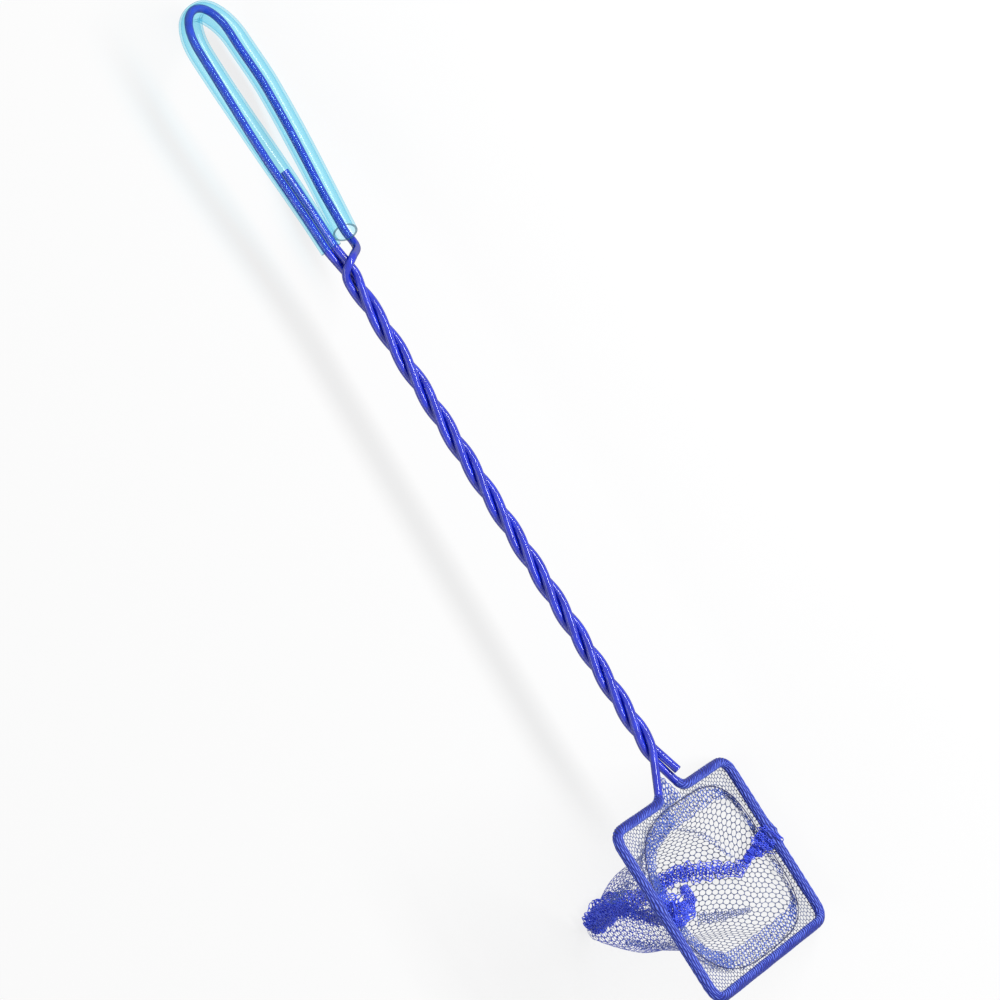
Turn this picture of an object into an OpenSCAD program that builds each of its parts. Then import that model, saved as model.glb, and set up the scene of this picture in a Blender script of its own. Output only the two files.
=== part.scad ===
// Small aquarium fish net. One length of plastic-coated wire makes the whole frame: it is bent
// into the mouth, twisted three strands thick for the handle and looped back for the grip.
// A soft tube is threaded over the loop, and a netting bag of two sewn halves hangs from the mouth.
// The net lies on its side on a table: it rests on the grip loop, a corner of the mouth and the
// bag's tip.
// Millimetres. The pieces are drawn with the mouth flat and the handle along X, then laid down.

/* [Wire] */
// Diameter of the steel wire inside the coating
core_d = 1.1; // [0.8:0.1:1.3]
// Diameter of the wire over its plastic coating
wire_d = 1.75; // [1.5:0.05:1.9]

/* [Mouth] */
// Width of the mouth across the handle, between wire centres
mouth_w = 47.6; // [40:0.1:70]
// Length of the mouth along the handle, between wire centres
mouth_l = 38.8; // [32:0.2:60]
// Bend radius of the mouth's corners, at the wire's centre
corner_r = 2.8; // [2:0.2:5]
// Distance by which the mouth's middle lies to the near side of the handle
mouth_shift = 3.1; // [0:0.1:4]
// Distance by which the near long bar is set back towards the handle against the far one
mouth_skew = 0.7; // [0:0.1:2]

/* [Neck and handle] */
// Length of the forked neck, from the twist to the mouth's rear bar
neck_l = 9.9; // [8:0.1:16]
// Distance between the two shoulders, where the fork meets the rear bar
neck_w = 9.9; // [8:0.1:18]
// Distance by which the shoulders' middle lies to the near side of the handle
neck_shift = 2.5; // [0:0.1:4]
// Bend radius of the shoulders, at the wire's centre
shoulder_r = 2.6; // [2:0.1:4]
// Length of the twisted part of the handle
twist_l = 114; // [70:0.5:160]
// Whole turns of the twist, besides the part turn that brings the legs to their sides
whole_turns = 4; // [2:1:6]
// Length of the strand's cut end that stands free beside the neck
cut_end_l = 6.4; // [3:0.1:9]
// Height to which that cut end rises beside the neck
cut_end_rise = 1.9; // [1.5:0.1:4]

/* [Grip] */
// Length of the grip loop, from its tip to the start of the twist
loop_l = 64.9; // [50:0.1:90]
// Width of the loop between the tube's centres, at its widest
loop_w = 14.7; // [12:0.1:20]
// Distance between the tube's centres at its open ends
loop_end_w = 7.5; // [7:0.1:11]
// Distance of the near leg from the handle's axis where the loop is widest
near_wide = 2.9; // [0:0.1:6]
// Distance of the near leg from the handle's axis at the tube's open end
near_open = 0.8; // [0:0.1:2]
// Distance from the tube's open end to the twist on the near leg
near_reach = 6.9; // [5:0.1:10]
// Distance from the tube's open end to the twist on the far leg
far_reach = 9; // [8:0.1:12]
// Outside diameter of the grip tube
tube_d = 5.3; // [5.1:0.1:6.5]
// Wall thickness of the grip tube
tube_wall = 0.5; // [0.4:0.05:0.55]
// Length of the doubled wire's cut end that reaches into the tube
tail_l = 18.6; // [8:0.1:28]

/* [Bag] */
// Depth of the bag below the mouth's wire
bag_depth = 35.6; // [26:0.2:60]
// Thickness of the netting wall, with the thickness of its knots
net_wall = 0.6; // [0.4:0.05:1]
// Number of openings across each half of the bag
openings_across = 8; // [4:4:12]
// Number of rows of openings down each half of the bag
openings_down = 6; // [4:1:8]
// Width of the bars of netting between the openings
net_bar = 1.1; // [0.8:0.1:1.5]
// Distance by which the tip of the bag lies towards the handle from the mouth's middle
tip_shift = 3.2; // [0:0.1:5]
// Diameter of the hem that is wrapped and stitched round the mouth's wire
hem_d = 2.3; // [2.2:0.05:3]
// Height of the gathered seam that stands inside the bag
seam_h = 2.2; // [1:0.1:3]

/* [Hidden] */

wire_r = wire_d / 2;
core_r = core_d / 2;
tube_r = tube_d / 2;
bore_r = tube_r - tube_wall;
hem_r = hem_d / 2;

// Running gap between neighbouring strands and between soft pieces and what they hang on
strand_gap = 0.18;
cloth_gap = 0.1;

// Sides of a round section, outside and at the core
round_sides = 12;
core_sides = 6;
// Rings for each turn of the twist, and for each bend
turn_rings = 9;
bend_rings = 4;

function unit(v) = v / norm(v);
function mix(a, b, s) = a + (b - a) * s;
function flat(lists) = [for (list = lists) each list];
function backwards(list) = [for (i = [len(list) - 1 : -1 : 0]) list[i]];
// Ease from 0 to 1: level at 1, or level at both ends
function ease(s) = sin(90 * s);
function smooth(s) = s * s * (3 - 2 * s);

// The bend that takes a path from a towards b round to c, with radius r
function bend(a, b, c, r) =
    let (
        u = unit(a - b),
        v = unit(c - b),
        half = acos(u * v) / 2,
        turn = 180 - 2 * half,
        centre = b + unit(u + v) * r / sin(half),
        from = unit(b + u * r / tan(half) - centre),
        to = unit(b + v * r / tan(half) - centre)
    )
    [for (i = [0 : bend_rings])
        let (s = i / bend_rings)
        centre + r * (sin(turn * (1 - s)) * from + sin(turn * s) * to) / sin(turn)];

// Stations along the handle: the mouth's rear bar is at 0, and the loop's tip is the lowest
twist_end_x = -neck_l;
twist_start_x = twist_end_x - twist_l;
tip_x = twist_start_x - loop_l;

// The twist: three strands about the axis, one third of a turn apart, wound right-handed
strand_r = (wire_d + strand_gap) / sqrt(3);
part_turn = 0.455;
twist_angle = 360 * (whole_turns + part_turn);
// Angles at the neck: the near leg passes over the far one, and the cut end is beside them
near_leg_angle = 120;
far_leg_angle = 240;
cut_end_angle = 360;
strand_rings = round(turn_rings * twist_angle / 360);
// The twist is tighter at the neck than at the loop, where its strands stand a little apart
tighter = 0.1;
looser = 0.3;
loose_share = 0.08;

function strand_point(x, angle, r) = [x, r * cos(angle), r * sin(angle)];
// One strand from the neck to the loop, where the angle has turned back
function strand(neck_angle) = [
    for (i = [0 : strand_rings])
        let (
            s = i / strand_rings,
            turned = twist_angle * (s + tighter * s * (1 - s)),
            loose = max(0, 1 - (1 - s) / loose_share)
        )
        strand_point(mix(twist_end_x, twist_start_x, s), neck_angle - turned,
            strand_r * (1 + looser * loose * loose))
];
cut_strand = strand(cut_end_angle);
far_strand = strand(far_leg_angle);
near_strand = strand(near_leg_angle);

// The grip tube's centre line: a near leg in line with the handle, a half-round end and a far leg
near_open_x = twist_start_x - near_reach;
far_open_x = twist_start_x - far_reach;
near_open_y = -near_open;
near_wide_y = -near_wide;
far_open_y = near_open_y + loop_end_w;
far_wide_y = near_wide_y + loop_w;
turn_r = loop_w / 2;
turn_x = tip_x + tube_r + turn_r;
turn_y = (near_wide_y + far_wide_y) / 2;
leg_rings = 8;
end_rings = 12;

function near_leg(s) = [mix(near_open_x, turn_x, s), mix(near_open_y, near_wide_y, smooth(s)), 0];
function far_leg(s) = [mix(far_open_x, turn_x, s), mix(far_open_y, far_wide_y, ease(s)), 0];
function loop_turn(angle) = [turn_x + turn_r * cos(angle), turn_y + turn_r * sin(angle), 0];

tube_line = flat([
    [for (i = [0 : leg_rings]) near_leg(i / leg_rings)],
    [for (i = [1 : end_rings - 1]) loop_turn(270 - 180 * i / end_rings)],
    [for (i = [leg_rings : -1 : 0]) far_leg(i / leg_rings)]
]);

// Inside the tube the wire lies against the outer wall at the end of the loop, and the doubled
// wires of the near leg lie side by side
lane = (wire_d + strand_gap) / 2;
lane_angle = 56;
lane_shift = lane * [0, cos(lane_angle), sin(lane_angle)];
tail_share = tail_l / (near_open_x - turn_x);
hug = bore_r * cos(180 / round_sides) - wire_r - cloth_gap;
far_lean_share = 0.45;
function wire_near(s) =
    near_leg(s) - lane_shift * (1 - smooth(max(0, (s - tail_share) / (1 - tail_share))));
function wire_turn(angle) =
    loop_turn(angle) + hug * pow(sin(angle - 90), 2) * [cos(angle), sin(angle), 0];
function wire_far(s) = far_leg(s) - [0, hug * far_lean_share * sin(180 * min(1, 1.5 * (1 - s))), 0];

loop_rings = 7;
loop_wire = flat([
    [for (i = [0 : loop_rings]) wire_near(i / loop_rings)],
    [for (i = [1 : end_rings - 1]) wire_turn(270 - 180 * i / end_rings)],
    [for (i = [loop_rings : -1 : 0]) wire_far(i / loop_rings)]
]);

// The doubled wire's cut end, inside the near leg of the tube
tail_rings = 3;
tail = [for (i = [0 : tail_rings]) near_leg(tail_share * i / tail_rings) + lane_shift];

// The far wire runs on past the tube's end, turns across the other two and winds round the
// doubled one into the twist
cross_r = 2.6;
cross_back = 6.1;
cross_rise = 0.9;
cross_corner = [twist_start_x - cross_back, far_open_y, cross_rise];
wound_l = 4.2;
wound_from = 80;
wound_rings = 5;
cross_end = cut_strand[strand_rings] - far_strand[strand_rings];
wound_to = 360 + atan2(cross_end[2], cross_end[1]);
function wound(s) =
    let (
        along_share = (1 - s) * wound_l / (twist_start_x - near_open_x),
        r = mix(wire_d + strand_gap, norm(cross_end), s * s),
        angle = mix(wound_from, wound_to, (s + 2 * ease(s)) / 3)
    )
    mix(far_strand[strand_rings], tail[0], along_share) + r * [0, cos(angle), sin(angle)];
crossing = concat(
    bend(far_leg(0), cross_corner, wound(0), cross_r),
    [for (i = [0 : wound_rings - 1]) wound(i / wound_rings)]
);

// The mouth, from the near leg of the fork round to the far leg
near_y = -mouth_shift - mouth_w / 2;
far_y = -mouth_shift + mouth_w / 2;
neck_y = -neck_shift;
far_shoulder = [0, neck_y + neck_w / 2, 0];
near_shoulder = [0, neck_y - neck_w / 2, 0];
far_rear = [mouth_skew / 2, far_y, 0];
far_front = [mouth_l + mouth_skew / 2, far_y, 0];
near_front = [mouth_l - mouth_skew / 2, near_y, 0];
near_rear = [-mouth_skew / 2, near_y, 0];

mouth_wire = flat([
    bend(near_strand[0], near_shoulder, near_rear, shoulder_r),
    bend(near_shoulder, near_rear, near_front, corner_r),
    bend(near_rear, near_front, far_front, corner_r),
    bend(near_front, far_front, far_rear, corner_r),
    bend(far_front, far_rear, far_shoulder, corner_r),
    bend(far_rear, far_shoulder, far_strand[0], shoulder_r)
]);

// The free cut end beside the neck, a little proud of the two legs
cut_end_side = 0.5;
cut_end = cut_strand[0] + [cut_end_l, cut_end_side, cut_end_rise];

// The whole wire as one path, from the cut end at the neck to the cut end in the grip
wire_line = flat([
    [cut_end],
    cut_strand,
    backwards(crossing),
    backwards(loop_wire),
    backwards(near_strand),
    mouth_wire,
    far_strand,
    tail
]);
mouth_first = 1 + len(cut_strand) + len(crossing) + len(loop_wire) + len(near_strand);
mouth_last = mouth_first + len(mouth_wire) - 1;

// Directions along a path, and a cross direction carried along it without twisting
function along(line) = [
    for (i = [0 : len(line) - 1])
        unit(line[min(i + 1, len(line) - 1)] - line[max(i - 1, 0)])
];
function squared(v, t) = unit(v - (v * t) * t);
function across(dirs) = [
    for (i = 0, v = squared([0, 1, 0], dirs[0]);
        i < len(dirs);
        i = i + 1, v = i < len(dirs) ? squared(v, dirs[i]) : v)
        v
];
function ring(p, t, v, r, sides) =
    let (w = cross(t, v))
    [for (k = [0 : sides - 1])
        let (a = 360 * k / sides)
        p + r * (cos(a) * v + sin(a) * w)];
function rings(line, dirs, sideways, r, sides) =
    flat([for (i = [0 : len(line) - 1]) ring(line[i], dirs[i], sideways[i], r, sides)]);

// Triangles of a skin over rings of points, the first point being number base
function skin(count, sides, base) = flat([
    for (i = [0 : count - 2])
        for (k = [0 : sides - 1])
            let (
                a = base + i * sides + k,
                b = base + i * sides + (k + 1) % sides,
                c = a + sides,
                d = b + sides
            )
            [[a, c, b], [b, c, d]]
]);
function flipped(faces) = [for (f = faces) [f[0], f[2], f[1]]];
function band(a, b, c, d) = [[a, b, c], [a, c, d]];
// Triangles of the end face between an outer ring and an inner ring with fewer sides
function end_face(outer, inner, outer_sides, inner_sides) =
    let (m = outer_sides / inner_sides)
    flat([
        for (k = [0 : inner_sides - 1])
            let (
                next = inner + (k + 1) % inner_sides,
                middle = outer + (m * k + ceil(m / 2)) % outer_sides
            )
            concat(
                [for (j = [0 : m - 1])
                    [j < m / 2 ? inner + k : next,
                     outer + m * k + j,
                     outer + (m * k + j + 1) % outer_sides]],
                [[inner + k, middle, next]]
            )
    ]);

// A solid bar and a hollow tube swept along a path
module bar(line, r, sides) {
    dirs = along(line);
    count = len(line);
    last = (count - 1) * sides;
    polyhedron(
        rings(line, dirs, across(dirs), r, sides),
        concat(
            skin(count, sides, 0),
            [for (k = [1 : sides - 2]) [0, k, k + 1]],
            [for (k = [1 : sides - 2]) [last, last + k + 1, last + k]]
        )
    );
}

module sleeve(line, dirs, sideways, r, sides, inner_r, inner_sides) {
    count = len(line);
    base = count * sides;
    last = (count - 1) * sides;
    inner_last = base + (count - 1) * inner_sides;
    polyhedron(
        concat(
            rings(line, dirs, sideways, r, sides),
            rings(line, dirs, sideways, inner_r, inner_sides)
        ),
        concat(
            skin(count, sides, 0),
            flipped(skin(count, inner_sides, base)),
            end_face(0, base, sides, inner_sides),
            flipped(end_face(last, inner_last, sides, inner_sides))
        )
    );
}

function part_of(list, first, last) = [for (i = [first : last]) list[i]];
wire_dirs = along(wire_line);
wire_sideways = across(wire_dirs);

// The bag. Each level is a rounded outline that narrows to a short ridge at the tip.
// The sides across the handle run straight, and the ends along it are drawn in like a U.
// Its fine mesh is a grid of openings, with a closed row under the hem and one at the tip.
bag_levels = openings_down + 2;
bag_top = hem_r + cloth_gap;
// Half the length of the short ridge that the bag ends in
tip_ridge = 1;
// How square the outline is: 2 is an ellipse, and the mouth's outline is nearly a rectangle.
// With a number of openings that four divides, a bar of the grid starts at each corner.
rim_squareness = 20;
round_squareness = 2;
// The netting is gathered at the hem: within a share of the depth the corners round off, and the
// rear and front ends draw in to a share of the mouth's length
gather_depth_share = 0.15;
rear_gather_share = 0.85;
front_gather_share = 0.7;
drawn_in = 0.65;
// Levels crowd towards the hem and the tip, where the wall bends most
function level(v) = (1 - cos(180 * v)) / 2;
function bag_point(s, angle, inset) =
    let (
        gather = min(1, s / gather_depth_share),
        end_share = cos(angle) > 0 ? front_gather_share : rear_gather_share,
        half_l = (mouth_l / 2 - inset) * pow(1 - s, drawn_in) * mix(1, end_share, gather),
        half_w = mix(mouth_w / 2 - inset, tip_ridge - inset / 2, s),
        n = mix(rim_squareness, round_squareness, gather),
        reach = pow(pow(abs(cos(angle)), n) + pow(abs(sin(angle)), n), -1 / n),
        middle_x = mouth_l / 2 - tip_shift * s + mouth_skew / 2 * (1 - s) * sin(angle)
    )
    [middle_x + half_l * reach * cos(angle),
     -mouth_shift + half_w * reach * sin(angle),
     -bag_top - (bag_depth - bag_top - 2 * inset) * s];

// Corners of a cell of the grid, and of the opening in it. Half a bar is left on each side, or a
// smaller share of the cell near the tip, where the cells are narrow.
side_share = 0.32;
function cell(rows, j, k) = [rows[j][k], rows[j][k + 1], rows[j + 1][k + 1], rows[j + 1][k]];
function opening(c) =
    let (
        u = min(side_share, net_bar / norm(c[1] + c[2] - c[0] - c[3])),
        v = min(side_share, net_bar / norm(c[2] + c[3] - c[0] - c[1]))
    )
    [for (p = [[u, v], [1 - u, v], [1 - u, 1 - v], [u, 1 - v]])
        mix(mix(c[0], c[1], p[0]), mix(c[3], c[2], p[0]), p[1])];

// One half, from its end at +Y round to its end at -Y; side is 1 for the front, -1 for the rear
module bag_half(side) {
    row = openings_across + 1;
    skins = [
        for (inset = [0, net_wall])
            [for (j = [0 : bag_levels])
                [for (k = [0 : openings_across])
                    bag_point(level(j / bag_levels), 90 - side * 180 * k / openings_across, inset)]]
    ];
    inner = (bag_levels + 1) * row;
    cells = [for (j = [1 : openings_down]) for (k = [0 : openings_across - 1]) [j, k]];
    first = 2 * inner;
    inner_first = first + 4 * len(cells);
    points = flat([
        flat(skins[0]),
        flat(skins[1]),
        flat([for (c = cells) opening(cell(skins[0], c[0], c[1]))]),
        flat([for (c = cells) opening(cell(skins[1], c[0], c[1]))])
    ]);
    closed = flat([
        for (base = [0, inner])
            for (j = [0, bag_levels - 1])
                for (k = [0 : openings_across - 1])
                    let (
                        a = base + j * row + k,
                        faces = [[a, a + 1, a + row], [a + 1, a + row + 1, a + row]]
                    )
                    base == 0 ? faces : flipped(faces)
    ]);
    open = flat([
        for (i = [0 : len(cells) - 1])
            let (
                a = cells[i][0] * row + cells[i][1],
                corners = [a, a + 1, a + row + 1, a + row]
            )
            for (k = [0 : 3])
                let (
                    n = (k + 1) % 4,
                    out = first + 4 * i,
                    in = inner_first + 4 * i
                )
                concat(
                    band(corners[k], corners[n], out + n, out + k),
                    band(inner + corners[n], inner + corners[k], in + k, in + n),
                    band(out + k, out + n, in + n, in + k)
                )
    ]);
    foot = bag_levels * row;
    edges = flat(concat(
        [for (k = [0 : openings_across - 1])
            concat(
                band(k, inner + k, inner + k + 1, k + 1),
                band(foot + k + 1, inner + foot + k + 1, inner + foot + k, foot + k)
            )],
        [for (j = [0 : bag_levels - 1])
            let (a = j * row, b = a + openings_across)
            concat(
                band(a + row, inner + a + row, inner + a, a),
                band(b, inner + b, inner + b + row, b + row)
            )]
    ));
    faces = concat(closed, open, edges);
    polyhedron(points, side > 0 ? faces : flipped(faces));
}

// The seam allowance inside the bag, gathered into waves. It follows the seam from one side of
// the mouth down to the tip and up the other side.
seam_t = 2 * net_wall;
seam_wave = 0.6;
seam_levels = 9;
seam_low_share = 0.8;
panel_slope = atan2(bag_depth, mouth_w / 2);
function seam_foot(s, side) = bag_point(s, 90 * side, net_wall + cloth_gap);
function seam_section(foot, dir, h, wave) = [
    foot + [-seam_t / 2, 0, 0],
    foot + [seam_t / 2, 0, 0],
    foot + dir * h + [seam_t / 2 + wave, 0, 0],
    foot + dir * h + [-seam_t / 2 + wave, 0, 0]
];
function seam_side(side) = [
    for (j = [0 : seam_levels])
        let (s = seam_low_share * j / seam_levels)
        seam_section(
            seam_foot(s, side),
            [0, -side * sin(panel_slope), cos(panel_slope)],
            seam_h,
            seam_wave * sin(270 * j)
        )
];
seam_tip = seam_section(
    bag_point(1, 0, net_wall + cloth_gap),
    [0, 0, 1],
    seam_h / cos(panel_slope),
    0
);

// Lying on its side: the table touches the loop, the far shoulder corner and the bag's tip.
// The upward direction is the one in which these three round places are equally low.
loop_touch = [turn_x, far_wide_y, 0];
corner_touch = far_rear + [corner_r, 0, 0];
tip_touch = bag_point(1, 90, 0);
to_loop = loop_touch - corner_touch;
to_tip = tip_touch - corner_touch;
rise_loop = tube_r - hem_r;
rise_tip = -hem_r;
off_plane = cross(to_loop, to_tip);
gram = (to_loop * to_loop) * (to_tip * to_tip) - pow(to_loop * to_tip, 2);
part_loop = (rise_loop * (to_tip * to_tip) - rise_tip * (to_loop * to_tip)) / gram;
part_tip = (rise_tip * (to_loop * to_loop) - rise_loop * (to_loop * to_tip)) / gram;
in_plane = part_loop * to_loop + part_tip * to_tip;
up = in_plane + sqrt(1 - in_plane * in_plane) * unit(off_plane);
ahead = squared([1, 0, 0], up);
left = cross(up, ahead);

function laid(p) = [ahead * p, left * p, up * p];
table_h = min(flat([
    [for (p = tube_line) laid(p)[2] - tube_r],
    [for (p = mouth_wire) laid(p)[2] - hem_r],
    [laid(tip_touch)[2]]
]));
// The middle of the outline on the table, which becomes the origin
low_x = min([for (p = tube_line) laid(p)[0] - tube_r]);
high_x = max([for (p = mouth_wire) laid(p)[0] + hem_r]);
low_y = min([for (a = [-90, 90]) laid(bag_point(1, a, 0))[1]]);
high_y = max([for (p = mouth_wire) laid(p)[1] + hem_r]);

module lying() {
    multmatrix([
        [ahead[0], ahead[1], ahead[2], -(low_x + high_x) / 2],
        [left[0], left[1], left[2], -(low_y + high_y) / 2],
        [up[0], up[1], up[2], -table_h],
        [0, 0, 0, 1]
    ])
    children();
}

// Sub-parts
module wire_core() {
    color("silver")
    lying()
    bar(wire_line, core_r, core_sides);
}

module wire_coating() {
    color("mediumblue")
    lying()
    sleeve(wire_line, wire_dirs, wire_sideways, wire_r, round_sides, core_r, core_sides);
}

module grip_tube() {
    dirs = along(tube_line);
    color("paleturquoise", 0.5)
    lying()
    sleeve(tube_line, dirs, across(dirs), tube_r, round_sides, bore_r, round_sides);
}

module rim_hem() {
    color("royalblue")
    lying()
    sleeve(
        part_of(wire_line, mouth_first, mouth_last),
        part_of(wire_dirs, mouth_first, mouth_last),
        part_of(wire_sideways, mouth_first, mouth_last),
        hem_r, round_sides, wire_r, round_sides
    );
}

module bag_rear_half() {
    color("cornflowerblue")
    lying()
    bag_half(-1);
}

module bag_front_half() {
    color("lightskyblue")
    lying()
    bag_half(1);
}

module bag_seam() {
    sections = concat(seam_side(1), [seam_tip], backwards(seam_side(-1)));
    count = len(sections);
    last = (count - 1) * 4;
    color("blue")
    lying()
    polyhedron(
        flat(sections),
        concat(
            skin(count, 4, 0),
            [[0, 1, 2], [0, 2, 3]],
            [[last, last + 2, last + 1], [last, last + 3, last + 2]]
        )
    );
}

wire_core();
wire_coating();
grip_tube();
rim_hem();
bag_rear_half();
bag_front_half();
bag_seam();
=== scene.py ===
import math

import bpy
import numpy as np
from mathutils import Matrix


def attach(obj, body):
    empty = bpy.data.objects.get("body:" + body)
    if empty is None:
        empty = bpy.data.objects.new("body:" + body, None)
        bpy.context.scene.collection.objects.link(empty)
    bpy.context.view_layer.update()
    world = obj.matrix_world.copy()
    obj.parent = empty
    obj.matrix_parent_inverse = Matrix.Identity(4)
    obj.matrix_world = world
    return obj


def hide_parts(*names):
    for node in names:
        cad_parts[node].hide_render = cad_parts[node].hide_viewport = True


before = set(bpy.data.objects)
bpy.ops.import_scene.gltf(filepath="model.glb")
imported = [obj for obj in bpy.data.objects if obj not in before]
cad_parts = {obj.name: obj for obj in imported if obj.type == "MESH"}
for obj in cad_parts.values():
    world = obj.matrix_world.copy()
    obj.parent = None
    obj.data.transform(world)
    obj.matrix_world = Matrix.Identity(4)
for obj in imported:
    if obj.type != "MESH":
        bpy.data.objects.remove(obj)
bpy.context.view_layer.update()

# The view. The net lies on its side on a table and is seen from straight above, with the handle
# running from the upper left to the lower right. Metres.
EYE_PLACE = (0.00479, 0.01060, 0.880)
EYE_TURN = math.radians(57.66)
LENS = 152.7
FILM_W = 36.0

eye = bpy.data.cameras.new("eye")
eye.lens = LENS
eye.sensor_width = FILM_W
camera = bpy.data.objects.new("camera", eye)
camera.location = EYE_PLACE
camera.rotation_euler = (0.0, 0.0, EYE_TURN)
bpy.context.scene.collection.objects.link(camera)
bpy.context.scene.camera = camera
bpy.context.scene.view_settings.view_transform = "Standard"

# The table and the light. A matt white table top takes the net's soft shadow. A pale sky lights
# everything evenly, and two long soft boxes beside the handle draw the thin highlights on the
# coated wire. Metres and watts.
TABLE_SIZE = 3.0
TABLE_MATT = 0.18
TABLE_GLOW = 0.785
SKY_LEVEL = 0.26
FAR_BOX = dict(place=(0.0, 0.42, 0.42), size=(0.80, 0.07), watts=4.6)
NEAR_BOX = dict(place=(0.0, -0.52, 0.28), size=(0.80, 0.20), watts=1.2)


def surface(name):
    """A new material with its node tree and its surface shader."""
    made = bpy.data.materials.new(name)
    made.use_nodes = True
    return made, made.node_tree, made.node_tree.nodes["Principled BSDF"]


def fill(tree, n, inputs):
    """Each input of a node is set to a value, or joined to another node's output."""
    for socket, value in inputs:
        if isinstance(value, bpy.types.NodeSocket):
            tree.links.new(value, n.inputs[socket])
        else:
            n.inputs[socket].default_value = value


def node(tree, kind, inputs=(), **settings):
    """A new node with its settings and its inputs."""
    n = tree.nodes.new(kind)
    for key, value in settings.items():
        setattr(n, key, value)
    fill(tree, n, inputs)
    return n


def worked(tree, operation, *values):
    """One sum, worked out where the surface is seen."""
    return node(tree, "ShaderNodeMath", enumerate(values), operation=operation).outputs[0]


def seen_directly(tree):
    """1 where the camera sees the surface, also in gloss or through clear plastic."""
    ray = node(tree, "ShaderNodeLightPath").outputs
    return worked(tree, "MAXIMUM", worked(tree, "MAXIMUM", ray["Is Camera Ray"], ray["Is Glossy Ray"]),
                  ray["Is Transmission Ray"])


table_white, tree, shader = surface("table_white")
tree.nodes.remove(shader)
matt = node(tree, "ShaderNodeBsdfDiffuse", [("Color", (TABLE_MATT, TABLE_MATT, TABLE_MATT, 1.0))])
glow = node(tree, "ShaderNodeEmission",
            [("Strength", worked(tree, "MULTIPLY", seen_directly(tree), TABLE_GLOW))])
both = node(tree, "ShaderNodeAddShader", [(0, matt.outputs[0]), (1, glow.outputs[0])])
fill(tree, tree.nodes["Material Output"], [("Surface", both.outputs[0])])

table_mesh = bpy.data.meshes.new("table_top")
half = TABLE_SIZE / 2
table_mesh.from_pydata([(-half, -half, 0), (half, -half, 0), (half, half, 0), (-half, half, 0)], [],
                       [(0, 1, 2, 3)])
table_mesh.materials.append(table_white)
table = bpy.data.objects.new("table_top", table_mesh)
bpy.context.scene.collection.objects.link(table)

sky = bpy.data.worlds.new("sky")
bpy.context.scene.world = sky
sky.use_nodes = True
tree = sky.node_tree
# The sky looks white and lights the net at a lower level
strength = worked(tree, "ADD", worked(tree, "MULTIPLY", seen_directly(tree), 1.0 - SKY_LEVEL), SKY_LEVEL)
fill(tree, tree.nodes["Background"], [("Color", (1.0, 1.0, 1.0, 1.0)), ("Strength", strength)])

for name, box in (("far_box", FAR_BOX), ("near_box", NEAR_BOX)):
    lamp = bpy.data.lights.new(name, "AREA")
    lamp.shape = "RECTANGLE"
    lamp.size, lamp.size_y = box["size"]
    lamp.energy = box["watts"]
    holder = bpy.data.objects.new(name, lamp)
    holder.location = box["place"]
    holder.rotation_euler = (-math.atan2(box["place"][1], box["place"][2]), 0.0, 0.0)
    bpy.context.scene.collection.objects.link(holder)

# The wire. One length of steel wire in a shiny blue vinyl coating makes the whole frame. From its
# cut end beside the neck it runs down the twist, round the grip loop, back up the twist, round
# the mouth and down the twist again, to a second cut end inside the grip tube. Millimetres.
WIRE_D = 1.75
CORE_D = 1.1
# The mouth across and along the handle. It lies to one side of the handle and is a little askew
MOUTH_W = 47.6
MOUTH_L = 38.8
MOUTH_SHIFT = 3.1
MOUTH_SKEW = 0.7
CORNER_R = 2.8
NECK_L = 9.9
NECK_W = 9.9
NECK_SHIFT = 2.5
SHOULDER_R = 2.6
# The twist is a little tighter at the neck than at the loop, where its last share opens
TWIST_L = 114.0
TWIST_TURNS = 4.455
TIGHTER = 0.1
OPENS_SHARE = 0.08
OPENS_BY = 0.3
STRAND_GAP = 0.18
# Where the first cut end stands, from the end of its strand
CUT_END = (6.4, 0.5, 1.9)
# The loop: its length and width, its width at the twist, how far its near side lies from the
# handle's axis at both ends, and how far past the twist each side starts
LOOP_L = 64.9
LOOP_W = 14.7
LOOP_END_W = 7.5
NEAR_WIDE = 2.9
NEAR_OPEN = 0.8
NEAR_REACH = 6.9
FAR_REACH = 9.0
# The far leg comes in a little before the loop's tight end
FAR_DRAWN = 0.8
FAR_DRAWN_FROM = 0.75
TUBE_D = 5.3
TUBE_WALL = 0.5
# At the tight end the tube is pinched by a share of its width and pulled out past the legs, and
# the wire keeps a gap to its inside
PINCH = 0.34
TURN_PULL = 1.5
HUG_GAP = 0.1
# The last length of wire lies beside the near leg, leaning up against it
TAIL_L = 18.6
TAIL_GAP = 0.04
TAIL_LEAN = math.radians(56)
# How far the wire lies off the tube's own line, at the tight end and along the far leg
TURN_OFF = 0.9
FAR_OFF = 0.9
FAR_OFF_SHARE = 0.25
# Where the far leg's wire winds over the two others and becomes the first strand
WOUND_L = 3.4
WOUND_FROM = math.radians(80)
CROSS_OUT = 5.0
CROSS_UP = 0.9
CROSS_R = 3.2
# Up from the table in the net's own frame, and where that frame's middle lies on the table
TABLE_UP = np.array([0.031920, -0.821107, 0.569882])
TABLE_PLACE = np.array([73.9409, 9.31572, 18.0481])


def unit(v):
    return v / np.linalg.norm(v)


def laid(points):
    """Points of the net as it is made, with its mouth flat, to its place on the table."""
    ahead = unit(np.array([1.0, 0.0, 0.0]) - TABLE_UP[0] * TABLE_UP)
    turned = np.array([ahead, np.cross(TABLE_UP, ahead), TABLE_UP])
    return (np.asarray(points, float) @ turned.T + TABLE_PLACE) / 1000


def mix(a, b, s):
    return a + (b - a) * s


def smooth(s):
    return s * s * (3 - 2 * s)


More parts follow.
